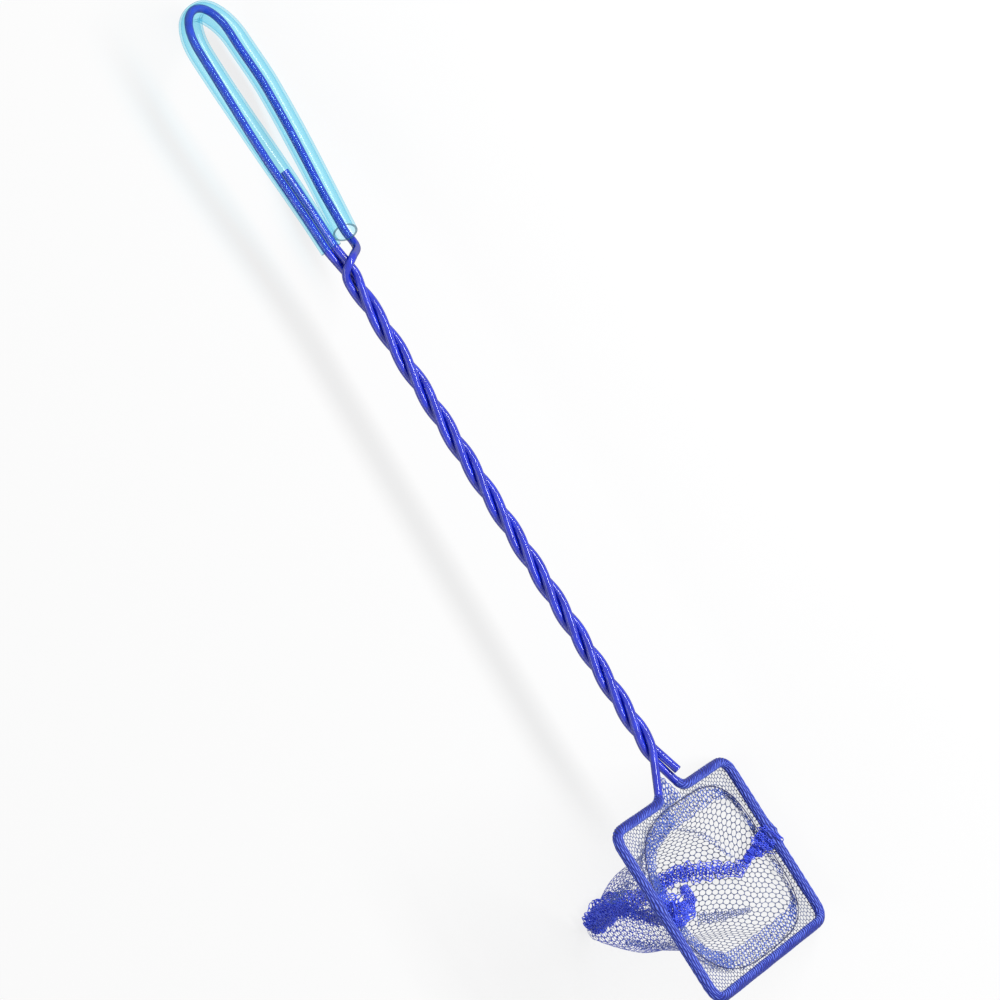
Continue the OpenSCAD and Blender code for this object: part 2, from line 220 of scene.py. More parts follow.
def bend(a, b, c, r, steps=14):
    """The round bend that takes a path from a towards b over to c."""
    u, v = unit(a - b), unit(c - b)
    opening = math.acos(float(u @ v)) / 2
    turn = math.pi - 2 * opening
    centre = b + unit(u + v) * r / math.sin(opening)
    start = unit(b + u * r / math.tan(opening) - centre)
    end = unit(b + v * r / math.tan(opening) - centre)
    s = np.linspace(0, 1, steps)[:, None]
    return centre + r * (np.sin(turn * (1 - s)) * start + np.sin(turn * s) * end) / math.sin(turn)


def lengths(line):
    """How far along the line each of its points is."""
    return np.concatenate([[0], np.cumsum(np.linalg.norm(np.diff(line, axis=0), axis=1))])


def read_off(values, run, at):
    """The values that belong to a line's points, read off at other lengths along it."""
    return np.stack([np.interp(at, run, values[:, k]) for k in range(3)], 1)


def spread(line, count):
    """The same line with so many points, spread evenly over its length."""
    run = lengths(line)
    return read_off(line, run, np.linspace(0, run[-1], count))


def even(line, step):
    """The same line with its points a step apart."""
    return spread(line, max(2, int(round(lengths(line)[-1] / step)) + 1))


def relaxed(line, reach):
    """The line with its sudden changes of direction eased over a few points, ends kept."""
    offsets = np.arange(-3 * reach, 3 * reach + 1)
    weights = np.exp(-(offsets / reach) ** 2 / 2)
    weights /= weights.sum()
    padded = np.concatenate([2 * line[0] - line[3 * reach:0:-1], line,
                             2 * line[-1] - line[-2:-3 * reach - 2:-1]])
    return np.stack([np.convolve(padded[:, k], weights, "valid") for k in range(3)], 1)


def carried(line):
    """The direction along a line, and two cross directions carried along it without twisting."""
    along = np.gradient(line, axis=0)
    along /= np.linalg.norm(along, axis=1)[:, None]
    side = np.zeros_like(line)
    v = np.array([0.0, 1.0, 0.0])
    if abs(along[0] @ v) > 0.9:
        v = np.array([1.0, 0.0, 0.0])
    for i, t in enumerate(along):
        v = unit(v - (v @ t) * t)
        side[i] = v
    return along, side, np.cross(along, side)


def skin_faces(rings, sides, first=0):
    """Quads over rings of points."""
    i = np.arange(rings - 1)[:, None]
    k = np.arange(sides)[None, :]
    a = first + i * sides + k
    b = first + i * sides + (k + 1) % sides
    return np.stack([a, b, b + sides, a + sides], -1).reshape(-1, 4).tolist()


def piece(name, points, faces, material, replaced=()):
    """A piece of the net from points as it is made, laid on the table and fixed to the frame."""
    mesh = bpy.data.meshes.new(name)
    mesh.from_pydata(laid(points).tolist(), [], faces)
    mesh.materials.append(material)
    mesh.shade_smooth()
    made = bpy.data.objects.new(name, mesh)
    bpy.context.scene.collection.objects.link(made)
    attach(made, "root")
    if replaced:
        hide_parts(*replaced)
    return made


def all_round(sides):
    """The angles of a ring's points."""
    return np.linspace(0, 2 * math.pi, sides, endpoint=False)


def round_bar(line, radius, sides):
    """Points and faces of a round bar along a line; radius may change along it."""
    along, side, up = carried(line)
    radius = np.broadcast_to(radius, len(line))[:, None, None]
    a = all_round(sides)[None, :, None]
    points = line[:, None] + radius * (np.cos(a) * side[:, None] + np.sin(a) * up[:, None])
    faces = skin_faces(len(line), sides)
    last = (len(line) - 1) * sides
    faces += [list(range(sides))[::-1], [last + k for k in range(sides)]]
    return points.reshape(-1, 3), faces


wire_r = WIRE_D / 2
tube_r = TUBE_D / 2
bore_r = tube_r - TUBE_WALL
strand_r = (WIRE_D + STRAND_GAP) / math.sqrt(3)
twist_x = -NECK_L - TWIST_L
turn_r = LOOP_W / 2
turn_x = twist_x - LOOP_L + tube_r + turn_r
far_y, near_y = -MOUTH_SHIFT + MOUTH_W / 2, -MOUTH_SHIFT - MOUTH_W / 2


def strand(neck_angle, steps=170):
    """One strand of the right-handed twist, from the neck to the loop."""
    s = np.linspace(0, 1, steps)
    turned = 2 * math.pi * TWIST_TURNS * (s + TIGHTER * s * (1 - s))
    loose = np.maximum(0, 1 - (1 - s) / OPENS_SHARE)
    r = strand_r * (1 + OPENS_BY * loose ** 2)
    a = math.radians(neck_angle) - turned
    return np.stack([mix(-NECK_L, twist_x, s), r * np.cos(a), r * np.sin(a)], 1)


def near_leg(s):
    """The loop's near side, from the twist to its tight end, as the tube lies."""
    x = mix(twist_x - NEAR_REACH, turn_x, s)
    return np.stack([x, mix(-NEAR_OPEN, -NEAR_WIDE, smooth(s)), 0 * s], 1)


def far_leg(s):
    """The loop's far side, from the twist to its tight end."""
    x = mix(twist_x - FAR_REACH, turn_x, s)
    y = mix(LOOP_END_W - NEAR_OPEN, LOOP_W - NEAR_WIDE, np.sin(math.pi / 2 * s))
    y = y - FAR_DRAWN * smooth(np.clip((s - FAR_DRAWN_FROM) / (1 - FAR_DRAWN_FROM), 0, 1))
    return np.stack([x, y, 0 * s], 1)


def loop_turn(angle, out=0.0):
    """The loop's tight end, from the near side round to the far one."""
    r = turn_r + out - FAR_DRAWN * np.maximum(0, np.sin(angle)) ** 2
    return np.stack([turn_x + r * np.cos(angle), turn_r - NEAR_WIDE + r * np.sin(angle), 0 * angle], 1)


leg = np.linspace(0, 1, 40)
turning = np.radians(np.linspace(270, 90, 40)[1:-1])
tube_line = np.concatenate([near_leg(leg), loop_turn(turning), far_leg(leg[::-1])])

cut_strand, far_strand, near_strand = strand(360), strand(240), strand(120)
lane = (WIRE_D + TAIL_GAP) / 2 * np.array([0, math.cos(TAIL_LEAN), math.sin(TAIL_LEAN)])
tail_share = TAIL_L / (twist_x - NEAR_REACH - turn_x)
hug = bore_r * (1 - PINCH) - wire_r - HUG_GAP
past_tail = smooth(np.maximum(0, (leg - tail_share) / (1 - tail_share)))
wire_near = near_leg(leg) - lane * (1 - past_tail)[:, None]
drawn_in = np.maximum(0, np.sin(turning)) ** 1.5
wire_turn = loop_turn(turning, (hug + TURN_PULL) * np.sin(turning - math.pi / 2) ** 2
                      - TURN_OFF * drawn_in)
wire_far = far_leg(leg)
wire_far[:, 1] -= FAR_OFF * smooth(np.clip(leg / FAR_OFF_SHARE, 0, 1))
loop_wire = np.concatenate([wire_near, wire_turn, wire_far[::-1]])
tail = near_leg(tail_share * np.linspace(0, 1, 8)) + lane

cross_end = cut_strand[-1] - far_strand[-1]
wound_s = np.linspace(0, 1, 16)[:, None]
wound_angle = mix(WOUND_FROM, 2 * math.pi + math.atan2(cross_end[2], cross_end[1]),
                  (wound_s + 2 * np.sin(math.pi / 2 * wound_s)) / 3)
wound = mix(far_strand[-1], tail[0], (1 - wound_s) * WOUND_L / NEAR_REACH)
wound = wound + (mix(WIRE_D + STRAND_GAP, np.linalg.norm(cross_end), wound_s ** 2)
                 * np.concatenate([0 * wound_s, np.cos(wound_angle), np.sin(wound_angle)], 1))
cross_corner = np.array([twist_x - CROSS_OUT, LOOP_END_W - NEAR_OPEN, CROSS_UP])
crossing = np.concatenate([bend(far_leg(leg[:1])[0], cross_corner, wound[0], CROSS_R), wound[:-1]])

far_shoulder = np.array([0, -NECK_SHIFT + NECK_W / 2, 0])
near_shoulder = np.array([0, -NECK_SHIFT - NECK_W / 2, 0])
far_rear = np.array([MOUTH_SKEW / 2, far_y, 0])
far_front = np.array([MOUTH_L + MOUTH_SKEW / 2, far_y, 0])
near_front = np.array([MOUTH_L - MOUTH_SKEW / 2, near_y, 0])
near_rear = np.array([-MOUTH_SKEW / 2, near_y, 0])
mouth_wire = np.concatenate([
    bend(near_strand[0], near_shoulder, near_rear, SHOULDER_R),
    bend(near_shoulder, near_rear, near_front, CORNER_R),
    bend(near_rear, near_front, far_front, CORNER_R),
    bend(near_front, far_front, far_rear, CORNER_R),
    bend(far_front, far_rear, far_shoulder, CORNER_R),
    bend(far_rear, far_shoulder, far_strand[0], SHOULDER_R),
])
before_mouth = np.concatenate([[cut_strand[0] + CUT_END], cut_strand, crossing[::-1],
                               loop_wire[::-1], near_strand[::-1]])
wire_parts = np.concatenate([before_mouth, mouth_wire, far_strand, tail])
WIRE_STEP = 0.42
wire_run = lengths(wire_parts)
wire_line = relaxed(even(wire_parts, WIRE_STEP), 2)
mouth_from = int(round(wire_run[len(before_mouth)] / wire_run[-1] * (len(wire_line) - 1)))
mouth_to = int(round(wire_run[len(before_mouth) + len(mouth_wire) - 1] / wire_run[-1]
                     * (len(wire_line) - 1)))


def tint(red, green, blue):
    """The shader's numbers for a colour as it is seen, from 0 to 255."""
    return tuple((v / 255 / 12.92 if v / 255 <= 0.04045 else ((v / 255 + 0.055) / 1.055) ** 2.4)
                 for v in (red, green, blue)) + (1.0,)


def uneven(tree, scale, detail=2.0):
    """A fine cloudy unevenness that stays with the object, from 0 to 1."""
    place = node(tree, "ShaderNodeTexCoord")
    return node(tree, "ShaderNodeTexNoise", [("Vector", place.outputs["Object"]), ("Scale", scale),
                                             ("Detail", detail)]).outputs["Fac"]


def shades(tree, factor, *stops):
    """Colours that follow a factor. Each stop is a place from 0 to 1 and the colour there."""
    made = node(tree, "ShaderNodeValToRGB", [("Fac", factor)])
    elements = made.color_ramp.elements
    elements[0].position, elements[0].color = stops[0]
    elements[1].position, elements[1].color = stops[-1]
    for at, colour in stops[1:-1]:
        elements.new(at).color = colour
    return made.outputs["Color"]


def ranged(tree, value, start, end, low, high):
    """A value taken from one range to another, and held at its ends."""
    return node(tree, "ShaderNodeMapRange", [("Value", value), ("From Min", start), ("From Max", end),
                                             ("To Min", low), ("To Max", high)]).outputs["Result"]


def blended(tree, share, first, second):
    """Two colours, mixed by the share of the second."""
    return node(tree, "ShaderNodeMix", [(0, share), (6, first), (7, second)],
                data_type="RGBA").outputs[2]


def raised(tree, height, strength, distance):
    """The fine relief of a surface, as its normal. The distance is in metres."""
    return node(tree, "ShaderNodeBump", [("Height", height), ("Strength", strength),
                                         ("Distance", distance)]).outputs["Normal"]


# Shiny vinyl: a deep blue with painted shade, darker towards the edges where the surface turns
# away, and a faint unevenness from being drawn over the wire
vinyl, tree, shader = surface("blue_vinyl")
blue = shades(tree, uneven(tree, 420.0, 3.0), (0.30, tint(16, 34, 180)), (0.72, tint(28, 52, 212)))
turned = node(tree, "ShaderNodeLayerWeight", [("Blend", 0.4)]).outputs["Facing"]
# Painted shade: the blue goes to navy where the surface turns away from the eye
vinyl_blue_with_painted_edge_shade = blended(tree, ranged(tree, turned, 0.35, 0.9, 0.0, 0.85), blue, tint(14, 22, 96))
fill(tree, shader, [("Base Color", vinyl_blue_with_painted_edge_shade), ("Roughness", 0.4), ("Specular IOR Level", 0.0),
                    ("Coat Weight", ranged(tree, turned, 0.45, 0.85, 1.0, 0.1)),
                    ("Coat Roughness", 0.06), ("Coat IOR", 1.55),
                    ("Coat Normal", raised(tree, uneven(tree, 500.0, 1.0), 0.06, 0.0002)),
                    ("Subsurface Weight", 0.25), ("Subsurface Scale", 0.0006),
                    ("Subsurface Radius", (0.15, 0.25, 1.0))])

# Bare drawn steel, which shows as a bright dot at each cut end
steel, tree, shader = surface("drawn_steel")
scratches = ranged(tree, uneven(tree, 5000.0, 4.0), 0.0, 1.0, 0.22, 0.5)
fill(tree, shader, [("Base Color", tint(196, 198, 202)), ("Metallic", 1.0), ("Roughness", scratches)])

# The strands press against each other in the twist, so their coating spreads a little there
COAT_SIDES = 20
CORE_SIDES = 12
COAT_SPREAD = 0.05
SPREAD_FROM = 2.0
SPREAD_OVER = 4.0
in_twist = smooth(np.clip(np.minimum(-NECK_L - SPREAD_FROM - wire_line[:, 0],
                                     wire_line[:, 0] - twist_x - SPREAD_FROM) / SPREAD_OVER, 0, 1))
coat_radius = wire_r + COAT_SPREAD * in_twist
points, faces = round_bar(wire_line, coat_radius, COAT_SIDES)
# Each cut end is a flat ring of vinyl with the steel set a little back inside it. Pairs of the
# ring's radius and how far inside the end it lies
core_hole = CORE_D / 2 + 0.02
CUT_RINGS = ((wire_r * 0.93, -0.06), (core_hole, -0.04), (core_hole, 0.5))
along, side, up = carried(wire_line)
a = all_round(COAT_SIDES)[:, None]
faces = faces[:-2]
for end, inward in ((0, 1), (len(wire_line) - 1, -1)):
    t, v, w = along[end] * inward, side[end], up[end]
    loop = [end * COAT_SIDES + k for k in range(COAT_SIDES)]
    for r, back in CUT_RINGS:
        first = len(points)
        points = np.concatenate([points, wire_line[end] + t * back
                                 + r * (np.cos(a) * v + np.sin(a) * w)])
        for k in range(COAT_SIDES):
            quad = [loop[k], loop[(k + 1) % COAT_SIDES], first + (k + 1) % COAT_SIDES, first + k]
            faces.append(quad[::-1] if inward > 0 else quad)
        loop = [first + k for k in range(COAT_SIDES)]
piece("coated_wire", points, faces, vinyl, ["wire_coating"])
points, faces = round_bar(wire_line, CORE_D / 2, CORE_SIDES)
piece("steel_core", points, faces, steel, ["wire_core"])

# The grip tube. A length of soft clear vinyl tube with a pale blue tint is threaded over the
# loop before the wire is twisted. It is pinched flatter round the tight end of the loop, and its
# two ends are cut off with a knife and stand open, the far one a little askew.
TUBE_STEP = 0.4
TUBE_SIDES = 36
CUT_SLANT = 0.9
SLANT_L = 3.0
# Where the tube's shape changes: the share of its length, over what share, and by how much. It is
# pulled out and pinched at the tight end, pressed by the two wires in it, and narrower at its near
# end and along its near side
PULLED = (0.5, 0.055, TURN_PULL)
PINCHED = (0.5, 0.07, PINCH)
PRESSED = (0.12, 0.06, 0.04)
NARROW_END = (0.0, 0.16, 0.12)
NARROW_SIDE = (0.32, 0.12, 0.05)
WAVER = 0.012
WAVER_TURNS = 41

tube_fine = relaxed(even(tube_line, TUBE_STEP), 3)
run = lengths(tube_fine)
share = run / run[-1]


def change(at, over, amount):
    """A change of the tube's shape at one place, fading out to both sides."""
    return amount * np.exp(-((share - at) / over) ** 2)


tube_fine[:, 0] -= change(*PULLED)
along, side, up = carried(tube_fine)
a = all_round(TUBE_SIDES)[None, :, None]


def tube_skin(radius):
    """The points of the tube's outside or inside wall."""
    flat = change(*PINCHED) + change(*PRESSED)
    radius = radius * (1 - change(*NARROW_END) - change(*NARROW_SIDE))
    wide = radius * (1 - flat + WAVER * np.sin(share * WAVER_TURNS))
    tall = radius * (1 + 0.5 * flat)
    return (tube_fine[:, None] + wide[:, None, None] * np.cos(a) * side[:, None]
            + tall[:, None, None] * np.sin(a) * up[:, None]).reshape(-1, 3)


count = len(tube_fine)
slanting = CUT_SLANT * np.clip(1 - (run[-1] - run) / SLANT_L, 0, 1)
points = np.concatenate([tube_skin(tube_r), tube_skin(bore_r)])
middle = np.concatenate([np.repeat(tube_fine, TUBE_SIDES, axis=0)] * 2)
points[:, 0] += np.tile(np.repeat(slanting, TUBE_SIDES), 2) * ((points - middle) @ TABLE_UP)
base = count * TUBE_SIDES
faces = skin_faces(count, TUBE_SIDES)
faces += [f[::-1] for f in skin_faces(count, TUBE_SIDES, base)]
last = base - TUBE_SIDES
wall_faces = len(faces)
for k in range(TUBE_SIDES):
    n = (k + 1) % TUBE_SIDES
    faces.append([k, base + k, base + n, n])
    faces.append([last + k, last + n, base + last + n, base + last + k])

# Clear plastic that colours what is seen through it, more so where its wall is seen edge on
clear_vinyl, tree, shader = surface("clear_vinyl")
tree.nodes.remove(shader)
edge_on = node(tree, "ShaderNodeLayerWeight", [("Blend", 0.5)]).outputs["Facing"]
through = node(tree, "ShaderNodeBsdfTransparent",
               [("Color", shades(tree, edge_on, (0.20, (0.79, 0.955, 0.993, 1.0)),
                                 (0.84, (0.66, 0.90, 0.97, 1.0)), (0.98, (0.26, 0.50, 0.60, 1.0))))])
milky = node(tree, "ShaderNodeBsdfDiffuse", [("Color", tint(130, 214, 246))])
cloud = uneven(tree, 160.0)
body = node(tree, "ShaderNodeMixShader", [(0, ranged(tree, cloud, 0.0, 1.0, 0.0, 0.03)),
                                          (1, through.outputs[0]), (2, milky.outputs[0])])
# It shines on its outside only, and most where it is seen at a slant
gloss = node(tree, "ShaderNodeBsdfGlossy", [("Roughness", 0.16),
                                            ("Normal", raised(tree, cloud, 0.05, 0.0004))])
shine = ranged(tree, worked(tree, "POWER", edge_on, 5.0), 0.0, 1.0, 0.025, 0.22)
inside = node(tree, "ShaderNodeNewGeometry").outputs["Backfacing"]
shine = worked(tree, "MULTIPLY", shine, worked(tree, "SUBTRACT", 1.0, inside))
whole = node(tree, "ShaderNodeMixShader", [(0, shine), (1, body.outputs[0]), (2, gloss.outputs[0])])
fill(tree, tree.nodes["Material Output"], [("Surface", whole.outputs[0])])
grip = piece("grip_tube_clear", points, faces, clear_vinyl, ["grip_tube"])

# The knife leaves the two cut rims duller and darker than the wall
cut_vinyl, tree, shader = surface("cut_vinyl")
rim = shades(tree, uneven(tree, 1500.0), (0.0, tint(38, 74, 96)), (1.0, tint(78, 128, 148)))
fill(tree, shader, [("Base Color", rim), ("Roughness", 0.5), ("Alpha", 0.7)])
grip.data.materials.append(cut_vinyl)
for face in grip.data.polygons[wall_faces:]:
    face.material_index = 1
    face.use_smooth = False

# The hem. The netting is folded over the mouth's wire and stitched round it so tightly that it
# makes a cord. Its strands run lengthwise on the near and far bars and slant round the other two.
HEM_STEP = 0.15
HEM_SIDES = 56
# The cord's radius without its stitches, how high they stand, and its gap to the coating
HEM_R = 0.93
RIDGE_H = 0.16
HEM_GAP = 0.03
# The slanting stitches' pitch along the wire, and how many start side by side round it
STITCH_PITCH = 0.74
STITCH_STARTS = 6
# The strands that lie side by side round the near and the far bar
WALES = 14
# The length over which each end of the hem thins out
END_TAPER = 1.5
# Where each seam's end is caught in the hem, the cord is thicker: how far along the bar, which
# bar, over what length and by how much
BAR_REACH = 2.0
CAUGHT = ((18.4, far_y, 1.6, 0.42), (16.4, near_y, 1.8, 0.3))


def off_table(points, least):
    """The points, lifted where they would come nearer to the table than the least height."""
    height = points @ TABLE_UP + TABLE_PLACE[2]
    return points + np.maximum(0, least - height)[..., None] * TABLE_UP


hem_line = even(wire_line[mouth_from:mouth_to + 1], HEM_STEP)
hem_run = lengths(hem_line)
along, side, up = carried(hem_line)
a = all_round(HEM_SIDES)[None, :]
step = hem_run[:, None]
around = a / (2 * math.pi)
# The stitches slant round the cord, and no two lie quite alike
shifted = (step + 0.14 * np.sin(step * 0.9) + 0.07 * np.sin(step * 2.3 + a)
           + 0.05 * np.sin(step * 5.1 - 2 * a))
stitches = (0.5 + 0.5 * np.cos(2 * math.pi * (shifted / STITCH_PITCH + STITCH_STARTS * around))) ** 0.9
stitches *= 0.74 + 0.26 * np.sin(a * 2 + 0.5 * np.sin(step * 0.6) + 0.3 * np.sin(step * 3.7))
# The lengthwise strands sway a little and are pinched at each stitch
wale = around * WALES + 0.30 * np.sin(step * 0.31) + 0.16 * np.sin(step * 1.1 + 3 * a)
strands = (0.5 + 0.5 * np.cos(2 * math.pi * wale)) ** 0.8
strands *= 0.80 + 0.20 * np.sin(step * 3.3 + 2.6 * np.round(wale))
lengthwise = smooth(np.clip(along[:, :1] ** 2 * 1.4 - 0.2, 0, 1))
ridge = mix(stitches, strands, lengthwise)
end_fade = np.clip(np.minimum(hem_run, hem_run[-1] - hem_run) / END_TAPER, 0, 1)[:, None]
bunch = np.zeros((len(hem_line), 1))
for x, bar_y, width, extra in CAUGHT:
    on_bar = np.abs(hem_line[:, 1:2] - bar_y) < BAR_REACH
    bunch += extra * on_bar * np.exp(-((hem_line[:, :1] - x) / width) ** 2)
radius = (wire_r + HEM_GAP + (HEM_R - wire_r + RIDGE_H * ridge) * (0.3 + 0.7 * end_fade)
          + bunch * (1 + 0.25 * np.sin(step * 4.1 + 2 * a)))
points = (hem_line[:, None] + radius[..., None] * (np.cos(a)[..., None] * side[:, None]
                                                   + np.sin(a)[..., None] * up[:, None]))
faces = skin_faces(len(hem_line), HEM_SIDES)

# Dyed nylon, with painted shade between the stitches and a painted highlight on top of them
cord, tree, shader = surface("stitched_cord")
height = node(tree, "ShaderNodeAttribute", attribute_name="ridge").outputs["Fac"]
fibre = uneven(tree, 2600.0, 3.0)
# The colour follows the ridge height: painted shade in the grooves, painted highlight on the crests
shade = shades(tree, worked(tree, "MULTIPLY_ADD", fibre, 0.35, height), (0.28, tint(12, 22, 98)),
               (0.66, tint(38, 56, 178)), (0.92, tint(104, 126, 234)))
fill(tree, shader, [("Base Color", shade), ("Roughness", 0.55), ("Specular IOR Level", 0.35),
                    ("Sheen Weight", 0.08), ("Normal", raised(tree, fibre, 0.4, 0.0001))])
hem = piece("mouth_hem", off_table(points, 0.0).reshape(-1, 3), faces, cord, ["rim_hem"])
mark = hem.data.attributes.new("ridge", "FLOAT", "POINT")
mark.data.foreach_set("value", ridge.reshape(-1).astype(np.float32))

# The bag. Two pieces of fine six-sided nylon netting, a rear one and a front one, hang from the
# hem and taper to the tip. With the net on its side the far wall lies almost flat on the table,
# and the near wall falls straight down from its bar before it turns to the tip.
MESH_PITCH = 1.3
STRAND_D = 0.088
# The rounding of a strand takes about a sixth off it, so it is made thicker first
BEFORE_ROUNDING = 1.2
WALL_ROWS = 72
WALL_COLUMNS = 90
WALL_OFF = 0.2
# The slant of the mouth's outline is gone at this depth
SKEW_DEPTH = 12
# The bag's outline: depth, rear edge, front edge, near edge, far edge, squareness near and far
OUTLINES = np.array([
    [0.8, 0.4, 38.4, -26.5, 20.3, 16.0, 16.0],
    [2.0, 1.8, 37.7, -23.2, 20.0, 2.6, 4.0],
    [4.5, 3.6, 36.2, -21.8, 18.7, 2.4, 3.4],
    [7.0, 5.2, 33.8, -20.4, 17.0, 2.3, 2.9],
    [10.0, 6.7, 30.9, -18.7, 15.0, 2.1, 2.5],
    [15.0, 7.7, 28.2, -15.9, 11.5, 2.1, 2.3],
    [22.0, 8.5, 26.4, -11.8, 6.7, 2.0, 2.2],
    [25.0, 9.5, 25.4, -10.0, 4.7, 2.0, 2.1],
    [28.7, 11.2, 22.9, -7.8, 2.1, 2.0, 2.0],
    [32.0, 12.8, 20.9, -5.8, -0.2, 2.0, 2.0],
    [34.6, 14.2, 19.0, -4.3, -1.9, 2.0, 2.0],
    [35.6, 15.0, 17.8, -3.6, -2.7, 2.0, 2.0],
])
# Points of the far seam, from the hem to the tip
far_line = [(18.9, 21.5, 0.7), (19.5, 20.6, -1.2), (20.0, 19.4, -3.0), (19.9, 17.9, -5.3),
            (20.9, 16.6, -7.1), (21.7, 16.0, -8.1), (20.5, 14.8, -9.7), (18.8, 13.4, -11.7),
            (17.8, 11.9, -13.7), (16.3, 10.5, -15.8), (15.3, 9.0, -17.8), (15.1, 7.8, -19.5),
            (15.5, 6.2, -21.9), (15.7, 4.3, -24.6), (14.5, 2.4, -27.3), (13.4, 0.4, -30.0),
            (14.0, -1.4, -32.5), (15.6, -3.0, -35.0)]
# The two seams: depth, and how far along the handle the seam is there
FAR_SEAM = np.array([[0.0, 19.3]] + [[-z, x] for x, y, z in far_line[2:16]]
                    + [[32.6, 14.2], [35.6, 15.8]])
NEAR_SEAM = np.array([
    [0.0, 17.0], [2.0, 18.7], [4.8, 19.5], [7.0, 19.4], [10.6, 17.3], [15.7, 14.6], [22.9, 13.1],
    [30.0, 14.0], [35.6, 15.8],
])


def outline(table, depth, turn):
    """The outline at a depth. Turn is 90 degrees at the far wall, 180 at the rear, 270 near."""
    rear, front, near, far, near_square, far_square = (
        np.interp(depth, table[:, 0], table[:, k]) for k in range(1, 7))
    square = np.where(np.sin(turn) > 0, far_square, near_square)
    x = (front + rear) / 2 + (front - rear) / 2 * (
        np.sign(np.cos(turn)) * np.abs(np.cos(turn)) ** (2 / square))
    y = (far + near) / 2 + (far - near) / 2 * (
        np.sign(np.sin(turn)) * np.abs(np.sin(turn)) ** (2 / square))
    x = x + MOUTH_SKEW / 2 * (y + MOUTH_SHIFT) / (MOUTH_W / 2) * max(0.0, 1 - depth / SKEW_DEPTH)
    return np.stack([x, y, np.full(len(turn), -float(depth))], 1)


def seam_turn(depth, seam, column):
    """How far round the outline a seam is, from the front."""
    rear, front = (np.interp(depth, OUTLINES[:, 0], OUTLINES[:, k]) for k in (1, 2))
    square = np.interp(depth, OUTLINES[:, 0], OUTLINES[:, column])
    share = (np.interp(depth, seam[:, 0], seam[:, 1]) - (front + rear) / 2) / ((front - rear) / 2)
    share = max(-0.9, min(0.9, share))
    return math.acos(math.copysign(abs(share) ** (square / 2), share))


def fold(points, line, width, height):
    """How high a soft fold along a line lifts each point."""
    line = even(np.array(line, float), 0.5)
    gap = np.min(np.linalg.norm(points[..., None, :] - line, axis=-1), axis=-1)
    return height * np.exp(-(gap / width) ** 2)


# Soft folds of the walls: the line of each, its width and its height
FOLDS = (
    ([(7.4, 11.9, -13.2), (9.1, 13.1, -11.5), (11.1, 14.1, -10.2), (14.4, 14.9, -9.3),
      (18.6, 15.7, -8.3)], 0.75, 1.0),
    ([(29.8, 14.9, -10.2), (28.8, 13.4, -12.2), (27.7, 12.2, -13.9), (26.3, 10.3, -16.6),
      (24.8, 8.3, -19.3)], 0.9, 1.3),
    ([(25.2, 16.4, -7.7), (27.3, 17.4, -6.4), (29.8, 18.4, -5.1)], 0.6, 0.7),
    ([(21.5, 5.0, -24.0), (24.5, -2.0, -18.0), (27.5, -8.0, -10.0)], 0.9, 0.9),
    ([(9.5, 4.0, -20.0), (9.0, -4.0, -14.0), (8.0, -11.0, -8.0)], 0.8, 0.8),
    ([(17.5, -8.5, -27.0), (19.5, -12.5, -20.0), (23.0, -17.0, -12.0)], 0.8, 0.7),
)
# The walls also wave and sway a little everywhere
WALL_WAVE = 0.22
WALL_SWAY = 0.25
DRAWN_ROWS = 260
DRAWN_POINTS = 500
walls, wall_slant = {}, {}
for half in (-1, 1):
    fine = []
    for depth in np.linspace(OUTLINES[0, 0], OUTLINES[-1, 0], DRAWN_ROWS):
        far_turn = seam_turn(depth, FAR_SEAM, 6)
        near_turn = -seam_turn(depth, NEAR_SEAM, 5) + (2 * math.pi if half < 0 else 0)
        turn = np.linspace(far_turn, near_turn, DRAWN_POINTS)
        fine.append(spread(outline(OUTLINES, depth, turn), WALL_COLUMNS))
    fine = np.array(fine)
    slant = np.concatenate([[0], np.cumsum(np.linalg.norm(np.diff(fine, axis=0), axis=2).mean(1))])
    rows = np.interp(np.linspace(0, slant[-1], WALL_ROWS), slant, np.arange(len(slant)))
    low = np.minimum(rows.astype(int), len(fine) - 2)
    part = (rows - low)[:, None, None]
    wall = fine[low] * (1 - part) + fine[low + 1] * part
    eased = np.stack([relaxed(wall[:, c], 2) for c in range(WALL_COLUMNS)], 1)
    eased[0] = wall[0]
    wall = eased
    x, y, z = wall[..., 0], wall[..., 1], wall[..., 2]
    # The wall is held at the hem and free to fold and sway below it
    free = smooth(np.clip(np.linspace(0, 1, WALL_ROWS) * 6, 0, 1))[:, None]
    lift = sum(fold(wall, line, width, height) for line, width, height in FOLDS)
    lift = lift + WALL_WAVE * np.sin(0.9 * x + 0.5 * y) * np.sin(0.45 * z + 0.3 * x + half)
    wall = wall + (free * lift)[..., None] * TABLE_UP
    wall[..., 0] += free * WALL_SWAY * np.sin(0.5 * y - 0.35 * z + half)
    walls[half] = off_table(wall, WALL_OFF)
    wall_slant[half] = np.linspace(0, slant[-1], WALL_ROWS)


def over_grid(grid, row, column):
    """Points on a grid at fractional rows and columns."""
    row = np.clip(row, 0, grid.shape[0] - 1.001)
    column = np.clip(column, 0, grid.shape[1] - 1.001)
    r, c = row.astype(int), column.astype(int)
    fr, fc = (row - r)[:, None], (column - c)[:, None]
    return ((grid[r, c] * (1 - fc) + grid[r, c + 1] * fc) * (1 - fr)
            + (grid[r + 1, c] * (1 - fc) + grid[r + 1, c + 1] * fc) * fr)


